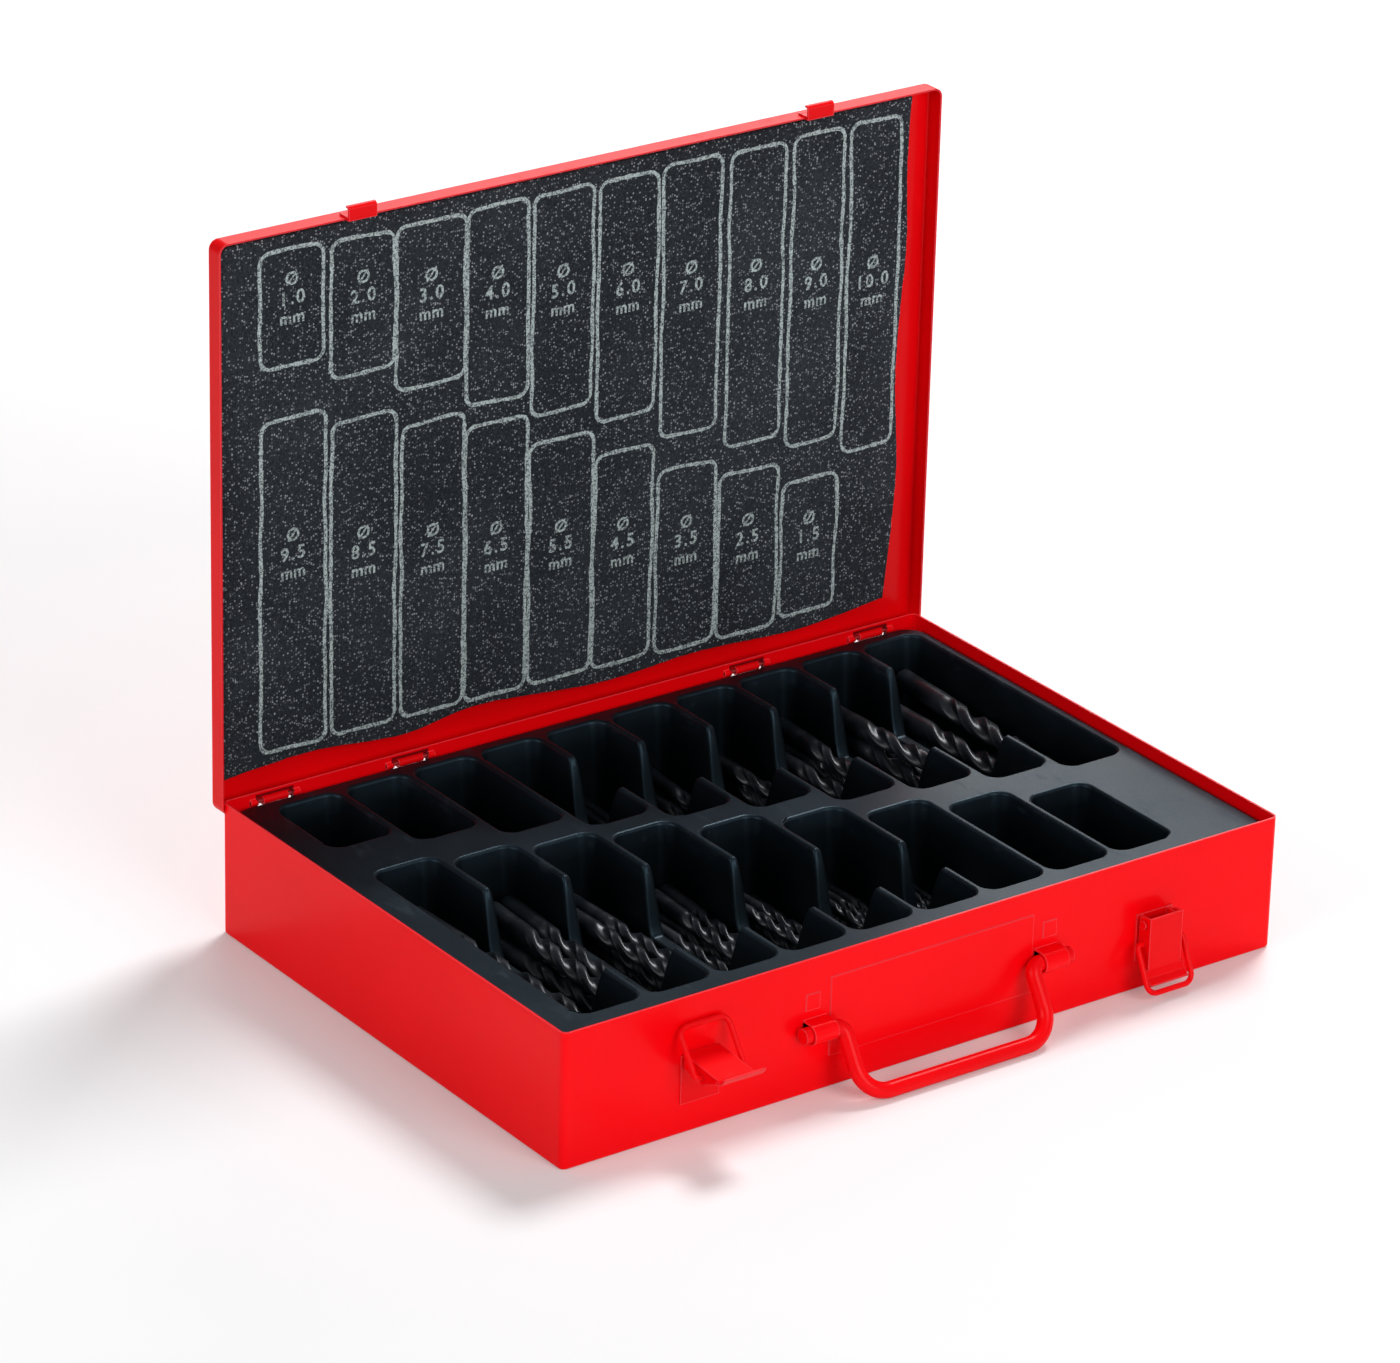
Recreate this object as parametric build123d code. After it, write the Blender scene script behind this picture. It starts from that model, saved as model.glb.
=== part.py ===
from build123d import *
from math import acos, degrees
import os

os.makedirs("parts", exist_ok=True)

# Sizes in millimetres. +X is the object's right, its front faces -Y, +Z is up.
# The origin is the centre of the case's underside.

# folded sheet-steel case
WIDTH, DEPTH, HEIGHT = 370.0, 256.0, 62.0
SHEET = 0.8
CORNER_R = 3.0
BASE_EDGE_R = 1.4
FRONT = -DEPTH / 2
BACK = DEPTH / 2

# shallow field pressed out of the front wall, and a raised square above each bridge
FIELD_X, FIELD_LOW, FIELD_HIGH = 52.5, 15.0, 51.0
FIELD_OUT = 0.6
SQUARE_X, SQUARE_HALF, SQUARE_LOW, SQUARE_HIGH = 61.5, 3.5, 38.6, 46.0
SQUARE_OUT = 0.5

# shallow lid that telescopes over the case
LID_GAP = 0.6
LID_TOP = HEIGHT + 2.3
LID_SKIRT = 9.3
LID_OUT = LID_GAP + SHEET
LID_EDGE_R = 1.6
STOP_RISE = 0.75

# hinge: tongues of the lid curl round short pins in windows of the back wall
HINGE_Y = BACK - SHEET / 2
HINGE_Z = HEIGHT - 4.5
HINGE_X = (-159.0, -90.0, 90.0, 159.0)
PIN_R = 1.0
PIN_HALF = 12.3
EAR_R = 1.7
EAR_START, EAR_END = 8.7, 12.4
WINDOW_W, WINDOW_LOW, WINDOW_HIGH = 17.0, 52.3, 59.9
TONGUE_W = 12.5
TONGUE_R = PIN_R + 0.9

# bent catch on the lid for each latch wire
CATCH_HALF = 7.0

# foam pad in the lid
FOAM_T = 5.0
FOAM_LEFT, FOAM_FRONT, FOAM_REAR = -183.4, 126.4, -115.0
FOAM_CORNER = 2.5

# moulded tray
TRAY_Z = 57.0
TRAY_WALL = 1.2
TRAY_FOOT = 1.1
TRAY_X, TRAY_Y = 183.6, 126.6
TRAY_R = 11.0
TRAY_RIM_R = 2.6
POCKET_W = 31.0
POCKET_R = 6.5
POCKET_PITCH = 34.6
POCKET_X0 = -149.0
POCKET_FLOOR = 13.0
POCKET_BOWL_R = 3.6
DRAFT = 3.0
SADDLE_Z = 27.0
NOTCH_HALF = 6.5
NOTCH_RAMP, NOTCH_STEEP, NOTCH_TOE = 11.0, 8.0, 3.0
BACK_END, FRONT_END = 119.0, -109.5
# front end of each back-row pocket and back end of each front-row pocket
BACK_ROW = (72.0, 59.0, 44.5, 31.0, 19.5, 8.0, -6.0, -15.0, -24.0, -32.0)
FRONT_ROW = (44.0, 36.0, 28.0, 19.0, 4.5, -8.0, -22.0, -34.5, -46.5)

# drill bits: diameter and overall length of each size
TIP_GAP = 4.6
STAGGER = 1.5
BIT_LENGTH = {
    2.5: 57, 3.5: 70, 4.0: 75, 4.5: 80, 5.0: 86, 5.5: 93, 6.0: 93, 6.5: 101,
    7.0: 109, 7.5: 109, 8.0: 117, 8.5: 117, 9.0: 125, 9.5: 125, 10.0: 133,
}

# swinging handle bail under two pressed bridges of the front wall
ROD_R = 3.5
HANDLE_X = 49.0
HANDLE_END = 69.5
HANDLE_OUT, HANDLE_Z = 4.4, 30.0
HANDLE_ARM = 31.0
HANDLE_GRIP_R, HANDLE_SHOULDER_R = 13.0, 4.5
HANDLE_LIFT = 0.2
BRIDGE_X0, BRIDGE_X1 = 54.0, 66.0
BRIDGE_R = ROD_R + 0.35

# draw latches
LATCH_X = 118.0
PIVOT_OUT, PIVOT_Z = 5.0, 33.0
PIVOT_R, RIVET_R = 1.2, 1.9
HOOK_DROP = 9.0
LEVER_HALF, LIP_HALF = 8.75, 10.2
BRACKET_HALF, BRACKET_LOW, BRACKET_HIGH = 9.6, 14.0, 36.0
EAR_OUTER, EAR_INNER = 7.5, 6.5
WIRE_R, WIRE_X, WIRE_LEN = 1.2, 12.1, 21.5
WIRE_BEND_R, WIRE_HOOK_R = 4.5, 1.8
WIRE_TILT = 25.4
LEVER_OPEN, WIRE_OPEN = 85.0, 105.0

# how far a cutting tool reaches past the sheet it cuts
PAST = 1.0


def write(name, shape):
    export_step(shape, f"parts/{name}.step")


def block(x0, x1, y0, y1, z0, z1):
    return Pos((x0 + x1) / 2, (y0 + y1) / 2, (z0 + z1) / 2) * Box(x1 - x0, y1 - y0, z1 - z0)


def rod_x(x0, x1, y, z, r):
    return Pos((x0 + x1) / 2, y, z) * Rotation(0, 90, 0) * Cylinder(r, x1 - x0)


def slab_x(x0, x1, points):
    # prism along X over a closed outline given as (y, z) points
    face = make_face(Polyline(*[(x0, y, z) for y, z in points], close=True))
    return extrude(face, amount=x1 - x0, dir=(1, 0, 0))


def rounded_slab(width, depth, radius, z0, z1):
    outline = Pos(0, 0, z0) * RectangleRounded(width, depth, radius)
    return extrude(outline, amount=z1 - z0, dir=(0, 0, 1))


def turn_x(shape, degrees, y, z):
    return shape.rotate(Axis((0, y, z), (1, 0, 0)), degrees)


# ---------------------------------------------------------------- case
# An open box of folded sheet with slightly rounded folds.
outer = rounded_slab(WIDTH, DEPTH, CORNER_R, 0, HEIGHT)
outer = fillet(outer.faces().sort_by(Axis.Z)[0].edges(), BASE_EDGE_R)
inner = rounded_slab(
    WIDTH - 2 * SHEET, DEPTH - 2 * SHEET, CORNER_R - SHEET, SHEET, HEIGHT + PAST
)
inner = fillet(inner.faces().sort_by(Axis.Z)[0].edges(), BASE_EDGE_R - SHEET)
case = outer - inner

# A shallow field is pressed out of the front wall between the handle's ends,
# with a small raised square above each end.
case += block(-FIELD_X, FIELD_X, FRONT - FIELD_OUT, FRONT + 0.2, FIELD_LOW, FIELD_HIGH)
case -= block(
    FIELD_OUT - FIELD_X, FIELD_X - FIELD_OUT, FRONT + 0.1, FRONT + SHEET + 0.1,
    FIELD_LOW + FIELD_OUT, FIELD_HIGH - FIELD_OUT,
)
for side in (-1, 1):
    x = side * SQUARE_X
    case += block(
        x - SQUARE_HALF, x + SQUARE_HALF, FRONT - SQUARE_OUT, FRONT + 0.2, SQUARE_LOW, SQUARE_HIGH
    )

# Two bridges are pressed out of the front wall over the handle's rod ends.
axis_y = FRONT - HANDLE_OUT
for side in (-1, 1):
    x0, x1 = sorted((side * BRIDGE_X0, side * BRIDGE_X1))
    strap_r = BRIDGE_R + SHEET
    strap = rod_x(x0, x1, axis_y, HANDLE_Z, strap_r)
    strap += block(x0, x1, axis_y, FRONT + 0.2, HANDLE_Z - strap_r, HANDLE_Z + strap_r)
    hollow = rod_x(x0 - PAST, x1 + PAST, axis_y, HANDLE_Z, BRIDGE_R)
    hollow += block(
        x0 - PAST, x1 + PAST, axis_y, FRONT, HANDLE_Z - BRIDGE_R, HANDLE_Z + BRIDGE_R
    )
    case += strap
    case -= hollow
    case -= block(
        x0, x1, FRONT - 0.1, FRONT + SHEET + 0.1, HANDLE_Z - BRIDGE_R, HANDLE_Z + BRIDGE_R
    )

# Four windows in the back wall, each flanked by two curled ears.
for x in HINGE_X:
    for e0, e1 in ((-EAR_END, -EAR_START), (EAR_START, EAR_END)):
        case += rod_x(x + e0, x + e1, HINGE_Y, HINGE_Z, EAR_R)
    case -= block(
        x - WINDOW_W / 2, x + WINDOW_W / 2, BACK - SHEET - 3, BACK + 3, WINDOW_LOW, WINDOW_HIGH
    )
    case -= rod_x(x - EAR_END - 0.1, x + EAR_END + 0.1, HINGE_Y, HINGE_Z, PIN_R + 0.04)
write("base_box", case)

write(
    "hinge_pins",
    Compound([rod_x(x - PIN_HALF, x + PIN_HALF, HINGE_Y, HINGE_Z, PIN_R) for x in HINGE_X]),
)

# ---------------------------------------------------------------- lid
# Drawn closed and then turned up about the hinge into the standing pose.
lid_w, lid_d = WIDTH + 2 * LID_OUT, DEPTH + 2 * LID_OUT
lid_rim = LID_TOP - LID_SKIRT
lid = rounded_slab(lid_w, lid_d, CORNER_R + LID_OUT, lid_rim, LID_TOP)
lid = fillet(lid.faces().sort_by(Axis.Z)[-1].edges(), LID_EDGE_R)
cave = rounded_slab(
    lid_w - 2 * SHEET, lid_d - 2 * SHEET, CORNER_R + LID_GAP, lid_rim - PAST, LID_TOP - SHEET
)
cave = fillet(cave.faces().sort_by(Axis.Z)[-1].edges(), LID_EDGE_R - SHEET)
lid -= cave
# The back skirt is cut short so that its edge meets the back wall when the lid stands.
lid -= block(
    -WIDTH / 2 - 0.35, WIDTH / 2 + 0.35, BACK - 6, BACK + 3, lid_rim - PAST, HINGE_Z + STOP_RISE
)
for x in HINGE_X:
    slot_half = WINDOW_W / 2 + 4.7
    lid -= block(x - slot_half, x + slot_half, BACK + 0.3, BACK + 3, HINGE_Z, HINGE_Z + 2.3)
for x in HINGE_X:
    t0, t1 = x - TONGUE_W / 2, x + TONGUE_W / 2
    lid += rod_x(t0, t1, HINGE_Y, HINGE_Z, TONGUE_R)
    lid += block(t0, t1, BACK + LID_GAP, BACK + LID_OUT, HINGE_Z, HINGE_Z + 3)
    lid -= rod_x(t0 - PAST, t1 + PAST, HINGE_Y, HINGE_Z, PIN_R + 0.06)
write("lid_shell", turn_x(lid, -90, HINGE_Y, HINGE_Z))

# A bent catch on the front skirt at each latch.
skirt_y = FRONT - LID_OUT
catch_outline = [
    (skirt_y, lid_rim + 4.6), (skirt_y, lid_rim - 0.1), (FRONT - LID_GAP, lid_rim - 0.1),
    (FRONT - LID_GAP, lid_rim - 2.6), (skirt_y - 4.6, lid_rim - 2.6), (skirt_y - 5.6, lid_rim - 1.6),
    (skirt_y - 5.6, lid_rim - 0.2), (skirt_y - 4.7, lid_rim - 0.2), (skirt_y - 4.7, lid_rim - 1.2),
    (skirt_y - 4.2, lid_rim - 1.7), (skirt_y - 0.9, lid_rim - 1.7), (skirt_y - 0.9, lid_rim + 4.6),
]
for side, name in ((-1, "left"), (1, "right")):
    catch = slab_x(side * LATCH_X - CATCH_HALF, side * LATCH_X + CATCH_HALF, catch_outline)
    write(f"lid_catch_{name}", turn_x(catch, -90, HINGE_Y, HINGE_Z))

# The foam pad is cut by hand, so its right and rear edges wander.
right_edge = [
    (173.5, FOAM_FRONT), (172.4, 92), (173.6, 60), (171.2, 22), (170.2, -8), (172.6, -48), (170.6, -84)
]
rear_edge = [
    (167.5, -112.5), (120, -117.0), (64, -114.6), (12, -116.8), (-52, -111.8), (-92, -116.2),
    (-138, -112.4),
]
foam_edge = Spline(*right_edge) + Spline(*rear_edge)
foam_edge += Line(right_edge[-1], rear_edge[0])
foam_edge += Polyline(
    rear_edge[-1], (FOAM_LEFT, FOAM_REAR), (FOAM_LEFT, FOAM_FRONT - FOAM_CORNER),
    (FOAM_LEFT + FOAM_CORNER, FOAM_FRONT), right_edge[0],
)
foam = extrude(mirror(make_face(foam_edge), Plane.XZ), amount=FOAM_T, dir=(0, 0, 1))
foam = Pos(0, 0, LID_TOP - SHEET - FOAM_T) * foam
write("lid_foam_pad", turn_x(foam, -90, HINGE_Y, HINGE_Z))


# ---------------------------------------------------------------- tray
# A thin moulded hood with tapered pockets hanging from its top skin.
def pocket(column, y0, y1, grow, floor, rounding):
    x = POCKET_X0 + column * POCKET_PITCH
    outline = RectangleRounded(POCKET_W + 2 * grow, y1 - y0 + 2 * grow, POCKET_R + grow)
    hole = extrude(
        Pos(x, (y0 + y1) / 2, TRAY_Z) * outline, amount=TRAY_Z - floor, dir=(0, 0, -1), taper=DRAFT
    )
    if rounding:
        hole = fillet(hole.faces().sort_by(Axis.Z)[0].edges(), rounding)
    return hole


def notch(column, y_back, y_front, grow, lift):
    # the deep finger notch through the divider on the right of a column
    x = POCKET_X0 + (column + 0.5) * POCKET_PITCH
    low = SADDLE_Z - grow
    points = [
        (y_back + grow, TRAY_Z + lift), (y_back - NOTCH_STEEP + grow, low + NOTCH_TOE),
        (y_back - NOTCH_RAMP, low), (y_front + NOTCH_RAMP, low),
        (y_front + NOTCH_STEEP - grow, low + NOTCH_TOE), (y_front - grow, TRAY_Z + lift),
    ]
    return slab_x(x - NOTCH_HALF, x + NOTCH_HALF, points)


pockets = [(i, end, BACK_END) for i, end in enumerate(BACK_ROW)]
pockets += [(i, FRONT_END, end) for i, end in enumerate(FRONT_ROW)]
# back and front end of each notch
notches = [(3, 94, 56), (4, 91, 46), (5, 88, 35), (6, 88, 26), (7, 90, 16), (8, 94, 8)]
notches += [(i, FRONT_ROW[i + 1] - 29.5, -82) for i in range(6)]

tray = rounded_slab(2 * TRAY_X, 2 * TRAY_Y, TRAY_R, TRAY_FOOT, TRAY_Z)
tray = fillet(tray.faces().sort_by(Axis.Z)[-1].edges(), TRAY_RIM_R)
hood = rounded_slab(
    2 * (TRAY_X - TRAY_WALL), 2 * (TRAY_Y - TRAY_WALL), TRAY_R - TRAY_WALL, 0, TRAY_Z - TRAY_WALL
)
hood = fillet(hood.faces().sort_by(Axis.Z)[-1].edges(), TRAY_RIM_R - TRAY_WALL)
tray -= hood
tray += [pocket(i, y0, y1, TRAY_WALL, POCKET_FLOOR - TRAY_WALL, 0) for i, y0, y1 in pockets]
tray += [notch(i, y0, y1, TRAY_WALL, -0.4) for i, y0, y1 in notches]
tray -= [pocket(i, y0, y1, 0, POCKET_FLOOR, POCKET_BOWL_R) for i, y0, y1 in pockets]
tray -= [notch(i, y0, y1, 0, PAST) for i, y0, y1 in notches]
write("tray_insert", tray)


# ---------------------------------------------------------------- drill bits
# Each bit is turned about its own axis: a plain shank and a pointed end.
def bit(diameter):
    r, length = diameter / 2 - 0.02, BIT_LENGTH[diameter]
    tip = 0.62 * r
    profile = Polyline(
        (0, 0, 0), (r - 0.3, 0, 0), (r, 0, 0.4), (r, 0, length - tip), (0.12 * r, 0, length),
        (0, 0, length), close=True,
    )
    return revolve(make_face(profile), Axis.Z)


def lay(diameter, column, y_tip, x_shift, z_centre, yaw):
    # the point faces the front; yaw swings the shank sideways
    length = BIT_LENGTH[diameter]
    x = POCKET_X0 + column * POCKET_PITCH + x_shift
    middle = Pos(x, y_tip + length / 2, z_centre)
    return middle * Rotation(0, 0, yaw) * Rotation(90, 0, 0) * Pos(0, 0, -length / 2) * bit(diameter)


def pile(diameter, column, y_tip, rows):
    # rows of bits, each row lying on the one below
    solids, z = [], POCKET_FLOOR + diameter / 2 + 0.1
    for count, shift, yaw, setback in rows:
        for k in range(count):
            x = shift + (k - (count - 1) / 2) * (diameter + 0.35)
            y = y_tip + setback + (k % 2) * STAGGER
            solids.append(lay(diameter, column, y, x, z, yaw))
        z += diameter + 0.05
    return solids


# each pile: the pocket's column, its front end and the rows from the floor up;
# a row is (count, sideways shift, yaw, setback from the front end)
heaps = {
    9.5: (0, FRONT_END, [(2, 0, 1.5, 5), (2, 0.3, -1.8, 9), (1, 3.0, 2.5, 14)]),
    8.5: (1, FRONT_END, [(2, 2.5, -1.5, 3), (2, -1.5, 2.6, 8), (2, 0.8, -2.4, 13)]),
    7.5: (2, FRONT_END, [(3, 0, 0.8, 4), (2, 1.0, -3.0, 9), (2, -1.5, 2.6, 13)]),
    6.5: (3, FRONT_END, [(3, 0.5, -1.2, 3), (3, -0.5, 1.8, 8), (2, 1.6, -3.2, 12)]),
    5.5: (4, FRONT_END, [(3, -0.5, 2.0, 3), (3, 0.8, -2.4, 7), (2, -1.5, 3.6, 11)]),
    4.5: (5, FRONT_END, [(4, 0, 1.0, 2), (3, -1.0, -2.6, 6), (3, 1.6, 2.6, 10)]),
    3.5: (6, FRONT_END, [(4, -0.5, -1.8, 3), (4, 1.0, 2.4, 5), (3, -1.4, -3.4, 8)]),
    2.5: (7, FRONT_END, [(3, -2.5, 7.0, 5), (2, 1.5, -5.0, 6)]),
    4.0: (3, BACK_ROW[3], [(3, -1.0, -2.0, 0), (2, 1.4, 3.2, 2)]),
    5.0: (4, BACK_ROW[4], [(3, 0, 2.0, 0.5), (2, -1.0, -3.2, 2)]),
    6.0: (5, BACK_ROW[5], [(3, 0, -2.0, 3), (2, 0.6, 3.2, 5), (1, -1.0, -4.0, 6)]),
    7.0: (6, BACK_ROW[6], [(2, -3.0, 2.0, 3), (2, 1.2, -2.8, 5), (1, -1.0, 4.0, 6)]),
    8.0: (7, BACK_ROW[7], [(2, 0, -2.5, 3), (2, 0.5, 2.4, 5), (1, 2.2, -3.4, 7)]),
    9.0: (8, BACK_ROW[8], [(2, 0, 1.2, 3), (2, 0.4, -2.0, 5), (1, -1.5, 3.2, 8)]),
    10.0: (9, BACK_ROW[9], [(2, 0, -1.0, 3), (1, -4.0, 2.0, 5), (1, 3.4, -2.4, 8)]),
}
for diameter, (column, front_end, rows) in heaps.items():
    solids = pile(diameter, column, front_end + TIP_GAP, rows)
    write(f"drill_bits_{str(diameter).replace('.', '_')}", Compound(solids))

# ---------------------------------------------------------------- handle
# One bent rod; drawn hanging straight down and then swung out until its bar lies low.
bail_path = FilletPolyline(
    (-HANDLE_END, 0, 0), (-HANDLE_X, 0, 0), (-HANDLE_X, 0, -HANDLE_ARM), (HANDLE_X, 0, -HANDLE_ARM),
    (HANDLE_X, 0, 0), (HANDLE_END, 0, 0),
    radius=[HANDLE_SHOULDER_R, HANDLE_GRIP_R, HANDLE_GRIP_R, HANDLE_SHOULDER_R],
)
bail = sweep(Plane(bail_path @ 0, z_dir=bail_path % 0) * Circle(ROD_R), path=bail_path)
bail_lean = degrees(acos((HANDLE_Z - ROD_R - HANDLE_LIFT) / HANDLE_ARM))
write(
    "handle_bail",
    turn_x(Pos(0, axis_y, HANDLE_Z) * bail, -bail_lean, axis_y, HANDLE_Z),
)


# ---------------------------------------------------------------- latches
# Outlines are (distance out from the front wall, height).
def side_plate(x0, x1, outline):
    return slab_x(x0, x1, [(FRONT - out, z) for out, z in outline])


def lever_shape(x):
    # a channel with its open side to the wall and a flared lip at its lower end
    face_out, top, lip_top = PIVOT_OUT + 4.0, PIVOT_Z + 4.0, 13.0
    plate = [
        (face_out - SHEET, top), (face_out, top), (face_out, lip_top), (face_out - SHEET, lip_top)
    ]
    lip = [
        (face_out - SHEET, lip_top + 0.1), (face_out, lip_top + 0.1), (face_out + 1.2, lip_top - 3.2),
        (face_out + 4.0, lip_top - 5.2), (face_out + 3.6, lip_top - 6.0), (face_out + 0.5, lip_top - 3.8),
    ]
    hook_z = PIVOT_Z - HOOK_DROP
    flange = [
        (face_out, top), (PIVOT_OUT, top - 0.4), (PIVOT_OUT - 2.4, PIVOT_Z + 2.6),
        (PIVOT_OUT - 3.4, PIVOT_Z), (PIVOT_OUT - 3.4, hook_z - 1.5),
        (PIVOT_OUT - 1.6, hook_z - 3.4), (face_out - 1.8, lip_top), (face_out, lip_top),
    ]
    lever = side_plate(x - LEVER_HALF, x + LEVER_HALF, plate)
    lever += side_plate(x - LIP_HALF, x + LIP_HALF, lip)
    for side in (-1, 1):
        x0, x1 = sorted((x + side * LEVER_HALF, x + side * (LEVER_HALF - SHEET)))
        lever += side_plate(x0, x1, flange)
    reach = LEVER_HALF + PAST
    lever -= rod_x(x - reach, x + reach, FRONT - PIVOT_OUT, PIVOT_Z, PIVOT_R + 0.06)
    lever -= rod_x(x - reach, x + reach, FRONT - PIVOT_OUT, hook_z, WIRE_R + 0.06)
    return lever


def wire_shape(x):
    # a loop whose two ends hook into the lever's flanges
    end = LEVER_HALF - 2 * SHEET
    path = FilletPolyline(
        (-end, 0, 0), (-WIRE_X, 0, 0), (-WIRE_X, 0, -WIRE_LEN), (WIRE_X, 0, -WIRE_LEN),
        (WIRE_X, 0, 0), (end, 0, 0), radius=[WIRE_HOOK_R, WIRE_BEND_R, WIRE_BEND_R, WIRE_HOOK_R],
    )
    loop = sweep(Plane(path @ 0, z_dir=path % 0) * Circle(WIRE_R), path=path)
    hook_y, hook_z = FRONT - PIVOT_OUT, PIVOT_Z - HOOK_DROP
    return turn_x(Pos(x, hook_y, hook_z) * loop, -WIRE_TILT, hook_y, hook_z)


def bracket_shape(x):
    # a plate on the wall with two ears inside the lever
    bracket = block(
        x - BRACKET_HALF, x + BRACKET_HALF, FRONT - SHEET, FRONT, BRACKET_LOW, BRACKET_HIGH
    )
    ear = [
        (0, PIVOT_Z + 2.6), (PIVOT_OUT, PIVOT_Z + 2.6), (PIVOT_OUT + 1.9, PIVOT_Z + 1.8),
        (PIVOT_OUT + 2.6, PIVOT_Z), (PIVOT_OUT + 1.9, PIVOT_Z - 1.8), (PIVOT_OUT, PIVOT_Z - 2.8),
        (0, PIVOT_Z - 4),
    ]
    for side in (-1, 1):
        x0, x1 = sorted((x + side * EAR_OUTER, x + side * EAR_INNER))
        bracket += side_plate(x0, x1, ear)
    reach = EAR_OUTER + PAST
    bracket -= rod_x(x - reach, x + reach, FRONT - PIVOT_OUT, PIVOT_Z, PIVOT_R + 0.02)
    return bracket


def pin_shape(x):
    # a pivot pin with a flat rivet head outside each flange
    head_in, head_out = LEVER_HALF + 0.35, LEVER_HALF + 1.05
    pin = rod_x(x - head_out, x + head_out, FRONT - PIVOT_OUT, PIVOT_Z, PIVOT_R)
    for x0, x1 in ((-head_out, -head_in), (head_in, head_out)):
        pin += rod_x(x + x0, x + x1, FRONT - PIVOT_OUT, PIVOT_Z, RIVET_R)
    return pin


# The left lever stands open with its wire leaning on the wall; the right one is shut.
for side, name, lever_turn, wire_turn in ((-1, "left", LEVER_OPEN, WIRE_OPEN), (1, "right", 0, 0)):
    x = side * LATCH_X
    pivot = (FRONT - PIVOT_OUT, PIVOT_Z)
    hook = (FRONT - PIVOT_OUT, PIVOT_Z - HOOK_DROP)
    write(f"latch_{name}_bracket", bracket_shape(x))
    write(f"latch_{name}_pin", pin_shape(x))
    write(f"latch_{name}_lever", turn_x(lever_shape(x), -lever_turn, *pivot))
    write(f"latch_{name}_wire", turn_x(turn_x(wire_shape(x), -wire_turn, *hook), -lever_turn, *pivot))
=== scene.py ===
import math
import random

import bmesh
import bpy
import numpy as np
from mathutils import Matrix, Vector, noise
from mathutils.geometry import delaunay_2d_cdt


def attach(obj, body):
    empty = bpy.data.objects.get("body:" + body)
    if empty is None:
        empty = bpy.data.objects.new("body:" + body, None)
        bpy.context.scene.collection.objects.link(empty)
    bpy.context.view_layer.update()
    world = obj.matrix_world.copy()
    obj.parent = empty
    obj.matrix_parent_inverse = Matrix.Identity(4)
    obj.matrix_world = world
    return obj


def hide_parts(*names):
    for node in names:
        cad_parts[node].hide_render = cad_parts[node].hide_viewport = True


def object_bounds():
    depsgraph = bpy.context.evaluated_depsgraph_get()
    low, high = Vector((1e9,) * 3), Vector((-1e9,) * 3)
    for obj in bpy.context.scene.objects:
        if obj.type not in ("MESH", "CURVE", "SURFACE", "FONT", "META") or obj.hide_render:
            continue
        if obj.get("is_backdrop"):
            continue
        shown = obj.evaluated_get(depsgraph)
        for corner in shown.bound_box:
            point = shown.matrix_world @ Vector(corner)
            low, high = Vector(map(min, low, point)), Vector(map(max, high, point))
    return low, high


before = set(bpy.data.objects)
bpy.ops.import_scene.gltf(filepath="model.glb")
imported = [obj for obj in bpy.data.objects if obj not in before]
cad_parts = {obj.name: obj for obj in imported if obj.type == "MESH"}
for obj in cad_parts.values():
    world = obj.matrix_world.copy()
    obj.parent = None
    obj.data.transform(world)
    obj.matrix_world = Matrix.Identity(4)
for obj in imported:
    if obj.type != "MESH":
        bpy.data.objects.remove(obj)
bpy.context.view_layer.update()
MM = 0.001

# ---------------------------------------------------------------- the view and the light
# The case stands on a plain white sweep. The camera is the photograph's, found from the case's
# corners: a long lens a little above the case and well to its left.
eye = Vector((-1.52566, -2.04062, 1.27327))
camera = bpy.data.objects.new("camera", bpy.data.cameras.new("camera"))
bpy.context.scene.collection.objects.link(camera)
camera.data.lens = 170.48
camera.data.sensor_width = 36
camera.data.clip_start, camera.data.clip_end = 0.05, 60
sideways = Vector((0.81247, -0.58251, 0.02399))
upward = Vector((0.22245, 0.34778, 0.91080))
backward = Vector((-0.53889, -0.73467, 0.41214))
turned = Matrix((sideways, upward, backward)).transposed().to_4x4()
camera.matrix_world = Matrix.Translation(eye) @ turned
bpy.context.scene.camera = camera
bpy.context.scene.view_settings.view_transform = "Standard"


class Wire:
    """A socket of a node tree. Arithmetic on it adds Math nodes."""

    def __init__(self, bench, socket):
        self.bench, self.socket = bench, socket

    def maths(self, operation, first, second=0.0):
        return self.bench.node("ShaderNodeMath", {"operation": operation}, {0: first, 1: second})

    def __add__(self, other):
        return self.maths("ADD", self, other)

    def __sub__(self, other):
        return self.maths("SUBTRACT", self, other)

    def __rsub__(self, other):
        return self.maths("SUBTRACT", other, self)

    def __mul__(self, other):
        return self.maths("MULTIPLY", self, other)

    __radd__, __rmul__ = __add__, __mul__

    def away(self, middle):
        """The distance from a middle value, on either side."""
        return self.maths("ABSOLUTE", self - middle)

    def most(self, other):
        return self.maths("MAXIMUM", self, other)

    def over(self, start, end):
        """0 below start, 1 above end, and smooth between."""
        ramp = {"interpolation_type": "SMOOTHSTEP", "clamp": True}
        ends = {0: self, 1: start, 2: end, 3: 0.0, 4: 1.0}
        return self.bench.node("ShaderNodeMapRange", ramp, ends)


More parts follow.
